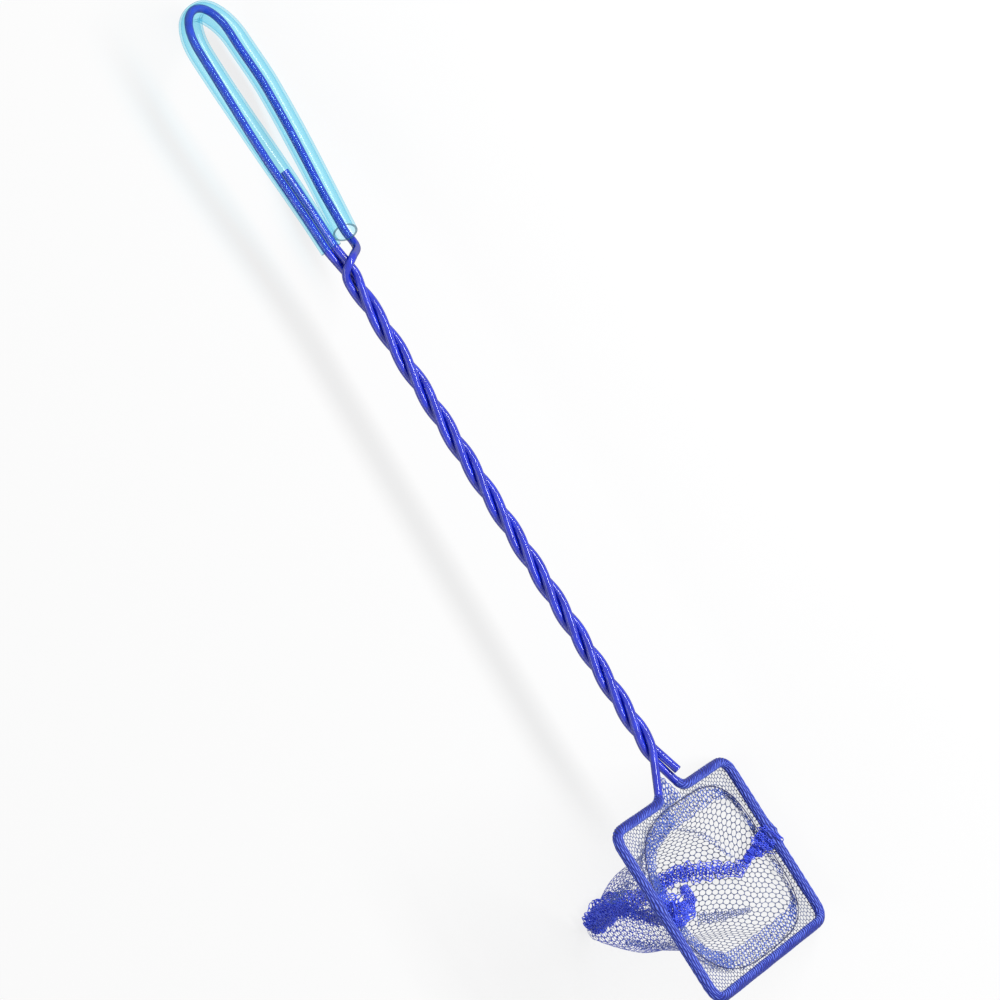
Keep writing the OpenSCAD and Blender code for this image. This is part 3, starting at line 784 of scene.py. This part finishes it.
def six_sided(reach, pitch, angle, keep, seed, uneven=0.05, sway=0.12):
    """A flat sheet of six-sided meshes round the origin, cut to shape, as points and faces.

    Each knot is a little out of place, and the rows of meshes sway slowly over the sheet.
    """
    corner = pitch / math.sqrt(3)
    rng = np.random.default_rng(seed)
    drift = rng.uniform(0, 6.28, 4)
    turned = math.radians(angle)
    found, points, faces = {}, [], []
    count = int(reach / pitch) + 2
    for j in range(-count, count + 1):
        for i in range(-count - abs(j) % 2, count + 1):
            cx, cy = (i + 0.5 * (j % 2)) * pitch, j * 1.5 * corner
            middle = (cx * math.cos(turned) - cy * math.sin(turned),
                      cx * math.sin(turned) + cy * math.cos(turned))
            if not keep(*middle):
                continue
            face = []
            for k in range(6):
                b = math.radians(60 * k + 30)
                x, y = cx + corner * math.cos(b), cy + corner * math.sin(b)
                key = (round(x / corner * 20), round(y / corner * 20))
                if key not in found:
                    found[key] = len(points)
                    points.append((x * math.cos(turned) - y * math.sin(turned),
                                   x * math.sin(turned) + y * math.cos(turned)))
                face.append(found[key])
            faces.append(face)
    points = np.array(points)
    points += rng.normal(0, uneven * pitch, points.shape)
    x, y = points[:, 0], points[:, 1]
    x += sway * np.sin(0.8 * y + drift[0]) * np.sin(0.6 * x + drift[1])
    y += sway * np.sin(0.7 * x + drift[2]) * np.sin(0.9 * y + drift[3])
    return points, faces


def netting(name, placed, faces, thickness, material, replaced=()):
    """Meshes in place on the bag, with every edge thickened into a round strand."""
    made = piece(name, placed, faces, material, replaced)
    lattice = made.modifiers.new("strands", "WIREFRAME")
    lattice.thickness = thickness / 1000
    lattice.use_even_offset = False
    lattice.use_boundary = True
    lattice.use_replace = True
    rounding = made.modifiers.new("rounding", "SUBSURF")
    rounding.levels = rounding.render_levels = 1
    bpy.context.view_layer.update()
    ready = bpy.data.meshes.new_from_object(
        made.evaluated_get(bpy.context.evaluated_depsgraph_get()))
    made.modifiers.clear()
    made.data = ready
    ready.shade_smooth()
    return made


def nylon(name, dark, light, closer=None):
    """Dyed nylon strands; closer is their deeper colour where they lie closer, towards the tip."""
    made, tree, shader = surface(name)
    colour = shades(tree, uneven(tree, 700.0, 3.0), (0.3, tint(*dark)), (0.7, tint(*light)))
    if closer:
        place = node(tree, "ShaderNodeTexCoord").outputs["Object"]
        spot = node(tree, "ShaderNodeSeparateXYZ", [("Vector", place)]).outputs["Y"]
        colour = blended(tree, ranged(tree, spot, -0.001, -0.013, 0.0, 1.0), colour, tint(*closer))
    fill(tree, shader, [("Base Color", colour), ("Roughness", 0.42), ("Specular IOR Level", 0.4),
                        ("Normal", raised(tree, uneven(tree, 6000.0), 0.3, 0.00005))])
    return made


single_net = nylon("netting_single", (78, 88, 124), (116, 124, 154), (54, 74, 186))
# The round part of the bag, as it leaves the mouth: its middle, its reach along and across, how
# square it is on the near and far sides, and how deep the flat corners round it go
ROUND_X, ROUND_Y = 19.75, -1.6
ROUND_REACH_X, ROUND_REACH_Y = 17.6, 21.3
NEAR_SQUARE, FAR_SQUARE = 2.6, 4.0
CORNER_DEPTH = 2.2


def in_corner(x, y, z):
    """Whether a place lies in one of the mouth's corners, outside the round part of the bag."""
    square = NEAR_SQUARE if y < ROUND_Y else FAR_SQUARE
    out = abs(x - ROUND_X) / ROUND_REACH_X, abs(y - ROUND_Y) / ROUND_REACH_Y
    return z > -CORNER_DEPTH and out[0] ** square + out[1] ** square > 1


def clear_of_corners(placed, faces):
    """The meshes that don't lie in one of the mouth's corners."""
    return [face for face in faces if not in_corner(*placed[face].mean(0))]


# Each half is cut as a fan from a point just past the tip, so its rows of meshes run straight and
# not round the bag. It runs on a little past the seams
FAN_START = 1.0
SEAM_SPARE = 0.3
for half, name, cad_node, angle in ((-1, "rear_netting", "bag_rear_half", -16),
                                    (1, "front_netting", "bag_front_half", 14)):
    wall, slant = walls[half], wall_slant[half]
    left = slant[-1] - slant + FAN_START
    arc = np.array([lengths(row)[-1] for row in wall])

    def on_wall(x, y, left=left, arc=arc):
        """How far a flat place is from the tip, and its share of the way across the half."""
        rho, theta = np.hypot(x, y), np.arctan2(x, -y)
        return rho, theta * rho / np.interp(-rho, -left, arc)

    def in_half(x, y, left=left, on_wall=on_wall):
        rho, across = on_wall(x, y)
        return 0.9 < rho < left[0] + 0.4 and abs(across) < 0.5 + SEAM_SPARE / rho and y < 0.6 * rho

    flat, faces = six_sided(left[0], MESH_PITCH, angle, in_half, 11 + half)
    rho, across = on_wall(flat[:, 0], flat[:, 1])
    placed = over_grid(wall, np.interp(-rho, -left, np.arange(len(left))),
                       (across + 0.5) * (WALL_COLUMNS - 1))
    netting(name, placed, clear_of_corners(placed, faces), STRAND_D * BEFORE_ROUNDING, single_net,
            [cad_node])

# The four corners of the mouth. The netting's edge is stretched flat there, between the hem and the
# round part of the bag, so its meshes are drawn smaller and its strands show thicker
CORNER_PITCH = 0.95
CORNER_STRAND = STRAND_D * 1.5
CORNER_OFF = 0.15
MOUTH_MIDDLE = 19.4
MOUTH_HALF_L = 18.8
MOUTH_NEAR, MOUTH_FAR = -25.3, 21.7
# It lies highest at the hem and sinks towards the round part
CORNER_TOP = -0.9
CORNER_SINK = 1.0
SINK_FROM = (9, 12)
SINK_OVER = 12


def in_mouth_corner(x, y):
    x, y = x + MOUTH_MIDDLE, y + ROUND_Y
    return abs(x - MOUTH_MIDDLE) < MOUTH_HALF_L and MOUTH_NEAR < y < MOUTH_FAR and in_corner(x, y, 0)


flat, faces = six_sided(32.0, CORNER_PITCH, 5, in_mouth_corner, 61)
beyond = np.linalg.norm(np.maximum(0, np.abs(flat) - SINK_FROM), axis=1)
corners = np.stack([flat[:, 0] + MOUTH_MIDDLE, flat[:, 1] + ROUND_Y,
                    CORNER_TOP - CORNER_SINK * np.clip(1.2 - beyond / SINK_OVER, 0, 1)], 1)
netting("corner_netting", off_table(corners, CORNER_OFF), faces, CORNER_STRAND, single_net)

# The turned-in edge. The netting's cut edge is folded over the wire and held by a ring of
# stitches just inside the hem; below the stitches it stands a little off the wall of the bag.
# The outline's numbers are as those of the bag
EDGE_OUTLINES = np.array([
    [0.6, 0.9, 37.9, -26.0, 19.9, 14.0, 14.0],
    [1.8, 2.0, 37.5, -22.9, 19.9, 2.6, 4.0],
    [2.4, 4.0, 35.4, -20.6, 19.8, 3.0, 5.0],
    [3.1, 6.3, 33.2, -18.2, 19.7, 3.2, 8.0],
])
EDGE_ROWS = 16
EDGE_COLUMNS = 420
# Its length laid flat, how far it stands off the wall, and at least off the table
EDGE_L = 150.0
EDGE_LIFT = 0.25
EDGE_OFF = 0.5
EDGE_STRAND = 0.15 * BEFORE_ROUNDING
RIPPLE_H = 0.28
RIPPLES = 23
edge_turn = np.linspace(math.pi / 2, math.pi * 5 / 2, 900)
edge_wall = np.array([spread(outline(EDGE_OUTLINES, depth, edge_turn), EDGE_COLUMNS)
                      for depth in np.linspace(EDGE_OUTLINES[0, 0], EDGE_OUTLINES[-1, 0],
                                               EDGE_ROWS)])
# It ripples more the farther it stands from its stitches
round_edge = np.linspace(0, 2 * math.pi, EDGE_COLUMNS)
ripple = np.linspace(0, 1, EDGE_ROWS)[:, None] * np.sin(
    RIPPLES * round_edge + 2 * np.sin(np.linspace(0, 15, EDGE_COLUMNS)))
edge_wall = off_table(edge_wall + (RIPPLE_H * ripple + EDGE_LIFT)[..., None] * TABLE_UP, EDGE_OFF)
edge_w = float(np.mean([lengths(edge_wall[:, c])[-1] for c in range(0, EDGE_COLUMNS, 10)]))


def edge_netting(name, wall, pitch, angle, keep, seed, strand):
    """A layer of netting along the edge's wall, cut to shape as it lies flat."""
    flat, faces = six_sided(EDGE_L / 2 + 2, pitch, angle, keep, seed)
    placed = over_grid(wall, (flat[:, 1] / edge_w + 0.5) * (EDGE_ROWS - 1),
                       (flat[:, 0] / EDGE_L + 0.5) * (EDGE_COLUMNS - 1))
    netting(name, placed, clear_of_corners(placed, faces), strand, double_net)


double_net = nylon("netting_double", (44, 66, 158), (92, 120, 212))
edge_netting("turned_in_edge", edge_wall, MESH_PITCH, 8,
             lambda x, y: abs(x) < EDGE_L / 2 and abs(y) < edge_w / 2, 31, EDGE_STRAND)

# A second fold of the edge lies under the first where the netting is gathered, mostly at the rear
# near corner. Pairs of a place along the edge and a half length, both as shares of the edge
UNDER_PITCH = MESH_PITCH * 0.85
UNDER_STRAND = 0.27
UNDER_OFF = 0.4
GATHERED = ((0.34, 0.07), (0.46, 0.08), (0.60, 0.05), (0.885, 0.03), (0.10, 0.035), (0.01, 0.05))


def in_gathered_edge(x, y):
    place = x / EDGE_L + 0.5
    return abs(y) < edge_w * 0.45 and any(
        abs(place - middle) < reach * (1 - (2 * y / edge_w) ** 4) for middle, reach in GATHERED)


under = off_table(edge_wall - (0.1 + 0.3 * np.cos(ripple))[..., None] * TABLE_UP, UNDER_OFF)
edge_netting("turned_in_edge_under", under, UNDER_PITCH, 35, in_gathered_edge, 33, UNDER_STRAND)

# The ring of stitches: one dark thread, run in and out through both layers
THREAD_R = 0.11
THREAD_DEPTH = 1.8
THREAD_LIFT = 0.45
THREAD_SWING = 0.12
RUNNING_STITCH = 1.9
thread_line = even(outline(EDGE_OUTLINES, THREAD_DEPTH, edge_turn), 0.2)
in_and_out = np.sin(2 * math.pi * lengths(thread_line) / RUNNING_STITCH)
thread_line = thread_line + (THREAD_LIFT + THREAD_SWING * in_and_out)[:, None] * TABLE_UP
dark_thread = nylon("dark_thread", (12, 14, 66), (30, 34, 110))
points, faces = round_bar(relaxed(thread_line, 1), THREAD_R, 8)
piece("edge_stitches", points, faces, dark_thread)

# The fork of the neck. The netting runs on over the gap between the neck's two legs, in two layers
# that are folded to a point. Each layer has its own near and far end where it joins the bag
FORK_L = 6.2
FORK_HALF_W = 4.7
NECK_TIP = np.array([-4.6, -1.5, -0.2])
NECK_SIDES = np.array([[[1.6, -7.2, -0.9], [1.6, 2.2, -0.9]], [[1.9, -7.0, -1.5], [1.9, 2.0, -1.5]]])
for layer, name in ((0, "neck_netting"), (1, "neck_netting_under")):
    def in_fork(x, y):
        share = (x - NECK_TIP[0]) / FORK_L
        return 0.02 < share < 1.0 and abs(y) < FORK_HALF_W * share

    flat, faces = six_sided(8.0, MESH_PITCH * 0.92, 10 + 25 * layer, in_fork, 41 + layer)
    share = np.clip((flat[:, 0] - NECK_TIP[0]) / FORK_L, 0, 1)[:, None]
    side_share = np.clip(flat[:, 1:] / np.maximum(0.2, 2 * FORK_HALF_W * share) + 0.5, 0, 1)
    near_end, far_end = NECK_SIDES[layer]
    placed = mix(NECK_TIP - layer * 0.5 * TABLE_UP, mix(near_end, far_end, side_share), share)
    netting(name, placed, faces, EDGE_STRAND, double_net)

# The seams. Along the two lines where the halves meet, both edges are turned into the bag,
# gathered and overlocked. The doubled edge makes a dense ruffle with a scalloped rim.
seam_net = nylon("netting_seam", (38, 56, 200), (80, 106, 252))
# Gathered strands stand a third thicker than they are spun
FLUFFED = 1.35
RUFFLE_OFF = 0.3
# The ruffle's waves, each a height and a length. The rim's scallops are shares of the width, and
# fade out where the ruffle is wide
WAVES = ((0.32, 1.9), (0.2, 0.95))
SCALLOPS = ((0.2, 2.9), (0.13, 1.35))
PLAIN_FROM, PLAIN_OVER = 4.2, 1.2


def ruffle(name, line, widths, lift, phase, seed, replaced=(), pitch=1.0, strand=0.27, gather=1.3,
           bare=(2.0, 2.0), material=None):
    """A strip of gathered netting along a line, left out between the two shares in bare.

    Widths are pairs of a share of the line's length and the strip's width there.
    """
    line = relaxed(even(np.array(line, float), 0.25), 3)
    run = lengths(line)
    along = np.gradient(line, axis=0)
    along /= np.linalg.norm(along, axis=1)[:, None]
    up = TABLE_UP - (along @ TABLE_UP)[:, None] * along
    up /= np.linalg.norm(up, axis=1)[:, None]
    side = np.cross(up, along)
    widths = np.array(widths, float)
    widest = widths[:, 1].max()
    flat_l = run[-1] * gather

    def in_strip(x, y):
        left_out = bare[0] < x / flat_l + 0.5 < bare[1]
        return abs(x) < flat_l / 2 and abs(y) < widest / 2 and not left_out

    flat, faces = six_sided(flat_l / 2 + 1, pitch, 20 + 13 * phase, in_strip, seed, 0.09)
    at = np.clip((flat[:, 0] / flat_l + 0.5) * run[-1], 0, run[-1])
    width = np.interp(at / run[-1], widths[:, 0], widths[:, 1])
    share = flat[:, 1] / widest
    scalloped = 1 - 0.8 * smooth(np.clip((width - PLAIN_FROM) / PLAIN_OVER, 0, 1))
    (big, long), (small, short) = SCALLOPS
    width = width * (1 + scalloped * (
        big * np.sin(2 * math.pi * at / long + phase + 1.4 * np.sign(share))
        + small * np.sin(2 * math.pi * at / short + 2 * phase - 0.9 * np.sign(share))))
    (big, long), (small, short) = WAVES
    wave = (big * np.sin(2 * math.pi * at / long + 3 * share + phase)
            + small * np.sin(2 * math.pi * at / short - 4 * share + 2 * phase)) * (0.5 + np.abs(share))
    placed = (read_off(line, run, at) + (share * width)[:, None] * read_off(side, run, at)
              + (lift + wave)[:, None] * read_off(up, run, at))
    netting(name, off_table(placed, RUFFLE_OFF), faces, strand * FLUFFED, material or seam_net, replaced)


OVERLOCK_R = 0.12
OVERLOCK_PITCH = 1.05
OVERLOCK_RISE = 0.22
OVERLOCK_OFF = 0.4


def overlock(name, line, reach, lift):
    """The overlocking thread, swung from side to side over a ruffle."""
    line = relaxed(even(np.array(line, float), 0.1), 6)
    run = lengths(line)
    side = np.cross(TABLE_UP, carried(line)[0])
    swing = 2 * math.pi * run / OVERLOCK_PITCH
    placed = (line + (reach * np.sin(swing))[:, None] * side
              + (lift + OVERLOCK_RISE * np.cos(2 * swing))[:, None] * TABLE_UP)
    points, faces = round_bar(off_table(placed, OVERLOCK_OFF), OVERLOCK_R, 6)
    piece(name, points, faces, seam_net)


# The far seam runs over the far wall and narrows where the bag is pinched, then widens to the tip
far_widths = [(0.0, 4.2), (0.06, 5.2), (0.11, 3.2), (0.15, 1.4), (0.18, 1.5), (0.22, 2.9),
              (0.26, 2.6), (0.33, 3.2), (0.45, 3.9), (0.55, 3.2), (0.7, 2.8), (0.8, 4.8),
              (0.9, 5.8), (1.0, 3.4)]
ruffle("far_seam_ruffle", far_line, far_widths, 0.5, 0.0, 51, ["bag_seam"])
ruffle("far_seam_under", far_line, [(s, w * 0.86) for s, w in far_widths], 0.15, 1.7, 52,
       bare=(0.16, 0.47))
overlock("far_seam_thread", far_line, 0.9, 0.8)
# Its upper end is bunched where it is caught in the hem, and its lower end at the tip
top_line = [(18.1, 20.7, 0.6), (19.0, 19.7, -2.0), (20.0, 18.4, -4.6), (20.7, 17.0, -6.6)]
top_widths = [(0.0, 3.8), (0.35, 4.2), (0.7, 2.4), (1.0, 1.2)]
ruffle("far_seam_top", top_line, top_widths, 0.9, 0.6, 61, pitch=0.72, gather=1.8)
tip_line = [(13.2, 1.8, -28.0), (13.6, -0.4, -31.0), (14.8, -2.2, -33.2), (15.8, -2.8, -34.2)]
tip_widths = [(0.0, 3.6), (0.4, 5.0), (0.8, 5.0), (1.0, 3.4)]
ruffle("tip_gather", tip_line, tip_widths, 1.1, 1.1, 62, pitch=0.76, gather=1.6)
# The near seam falls with the near wall, and joins the far one at the tip
near_line = [(16.5, -24.6, -0.2), (18.7, -21.8, -2.6), (19.5, -20.4, -5.2), (19.4, -19.2, -7.0),
             (17.3, -17.6, -10.6), (14.6, -15.0, -15.9), (13.4, -10.5, -22.9), (14.2, -6.5, -29.0),
             (15.3, -3.9, -34.0)]
near_widths = [(0.0, 3.4), (0.12, 2.4), (0.25, 2.4), (0.4, 2.6), (0.6, 3.2), (0.8, 4.8), (1.0, 3.4)]
ruffle("near_seam_ruffle", near_line, near_widths, 0.35, 0.9, 53)
ruffle("near_seam_under", near_line, [(s, w * 0.85) for s, w in near_widths], 0.0, 2.4, 54)
overlock("near_seam_thread", near_line, 0.85, 0.6)
# The near seam's upper end is folded over the bar and curls into the mouth
curl_line = [(15.9, -18.1, 1.4), (17.9, -18.1, 1.6), (19.7, -19.6, 1.6), (20.3, -22.4, 1.4),
             (19.6, -25.4, 1.2)]
curl_widths = [(0.0, 1.4), (0.25, 2.0), (0.5, 3.0), (0.75, 4.2), (1.0, 4.6)]
gather_line = [(14.2, -25.3, 1.0), (16.6, -24.6, 1.2), (19.2, -24.2, 1.3), (22.0, -25.4, 1.2)]
gather_widths = [(0.0, 2.2), (0.4, 4.0), (0.7, 3.8), (1.0, 2.2)]
ruffle("seam_gather", gather_line, gather_widths, 0.3, 0.5, 57, pitch=0.8)
ruffle("seam_curl", curl_line, curl_widths, 0.0, 0.3, 55, pitch=0.8)
ruffle("seam_curl_under", curl_line, curl_widths, -0.4, 1.9, 56, pitch=0.8)

# The creases. In two places the far wall is doubled over on itself, and so is each side of the part
# that shows below the near bar. They are folds of the same netting, held by nothing
ruffle("rear_crease", FOLDS[0][0], [(0.0, 0.5), (0.5, 0.9), (1.0, 0.5)], 1.2, 0.0, 71,
       pitch=0.9, strand=0.12, material=double_net)
ruffle("front_crease",
       [(29.6, 14.6, -10.6), (28.4, 12.6, -13.2), (26.9, 10.4, -16.2), (25.4, 8.6, -18.8)],
       [(0.0, 0.8), (0.5, 1.6), (1.0, 2.4)], 1.4, 0.4, 72, pitch=0.7, strand=0.19, material=double_net)
ruffle("pouch_crease_rear", [(9.8, -18.7, -7.6), (10.6, -16.6, -13.0), (11.9, -13.5, -19.0)],
       [(0.0, 1.2), (0.5, 1.6), (1.0, 0.9)], 0.5, 0.7, 73, pitch=0.8, strand=0.14, material=double_net)
ruffle("pouch_crease_front", [(24.9, -19.3, -7.9), (22.9, -16.6, -14.5), (20.6, -12.2, -22.0)],
       [(0.0, 0.8), (0.5, 1.3), (1.0, 1.0)], 0.3, 0.2, 74, pitch=0.8, strand=0.14, material=double_net)
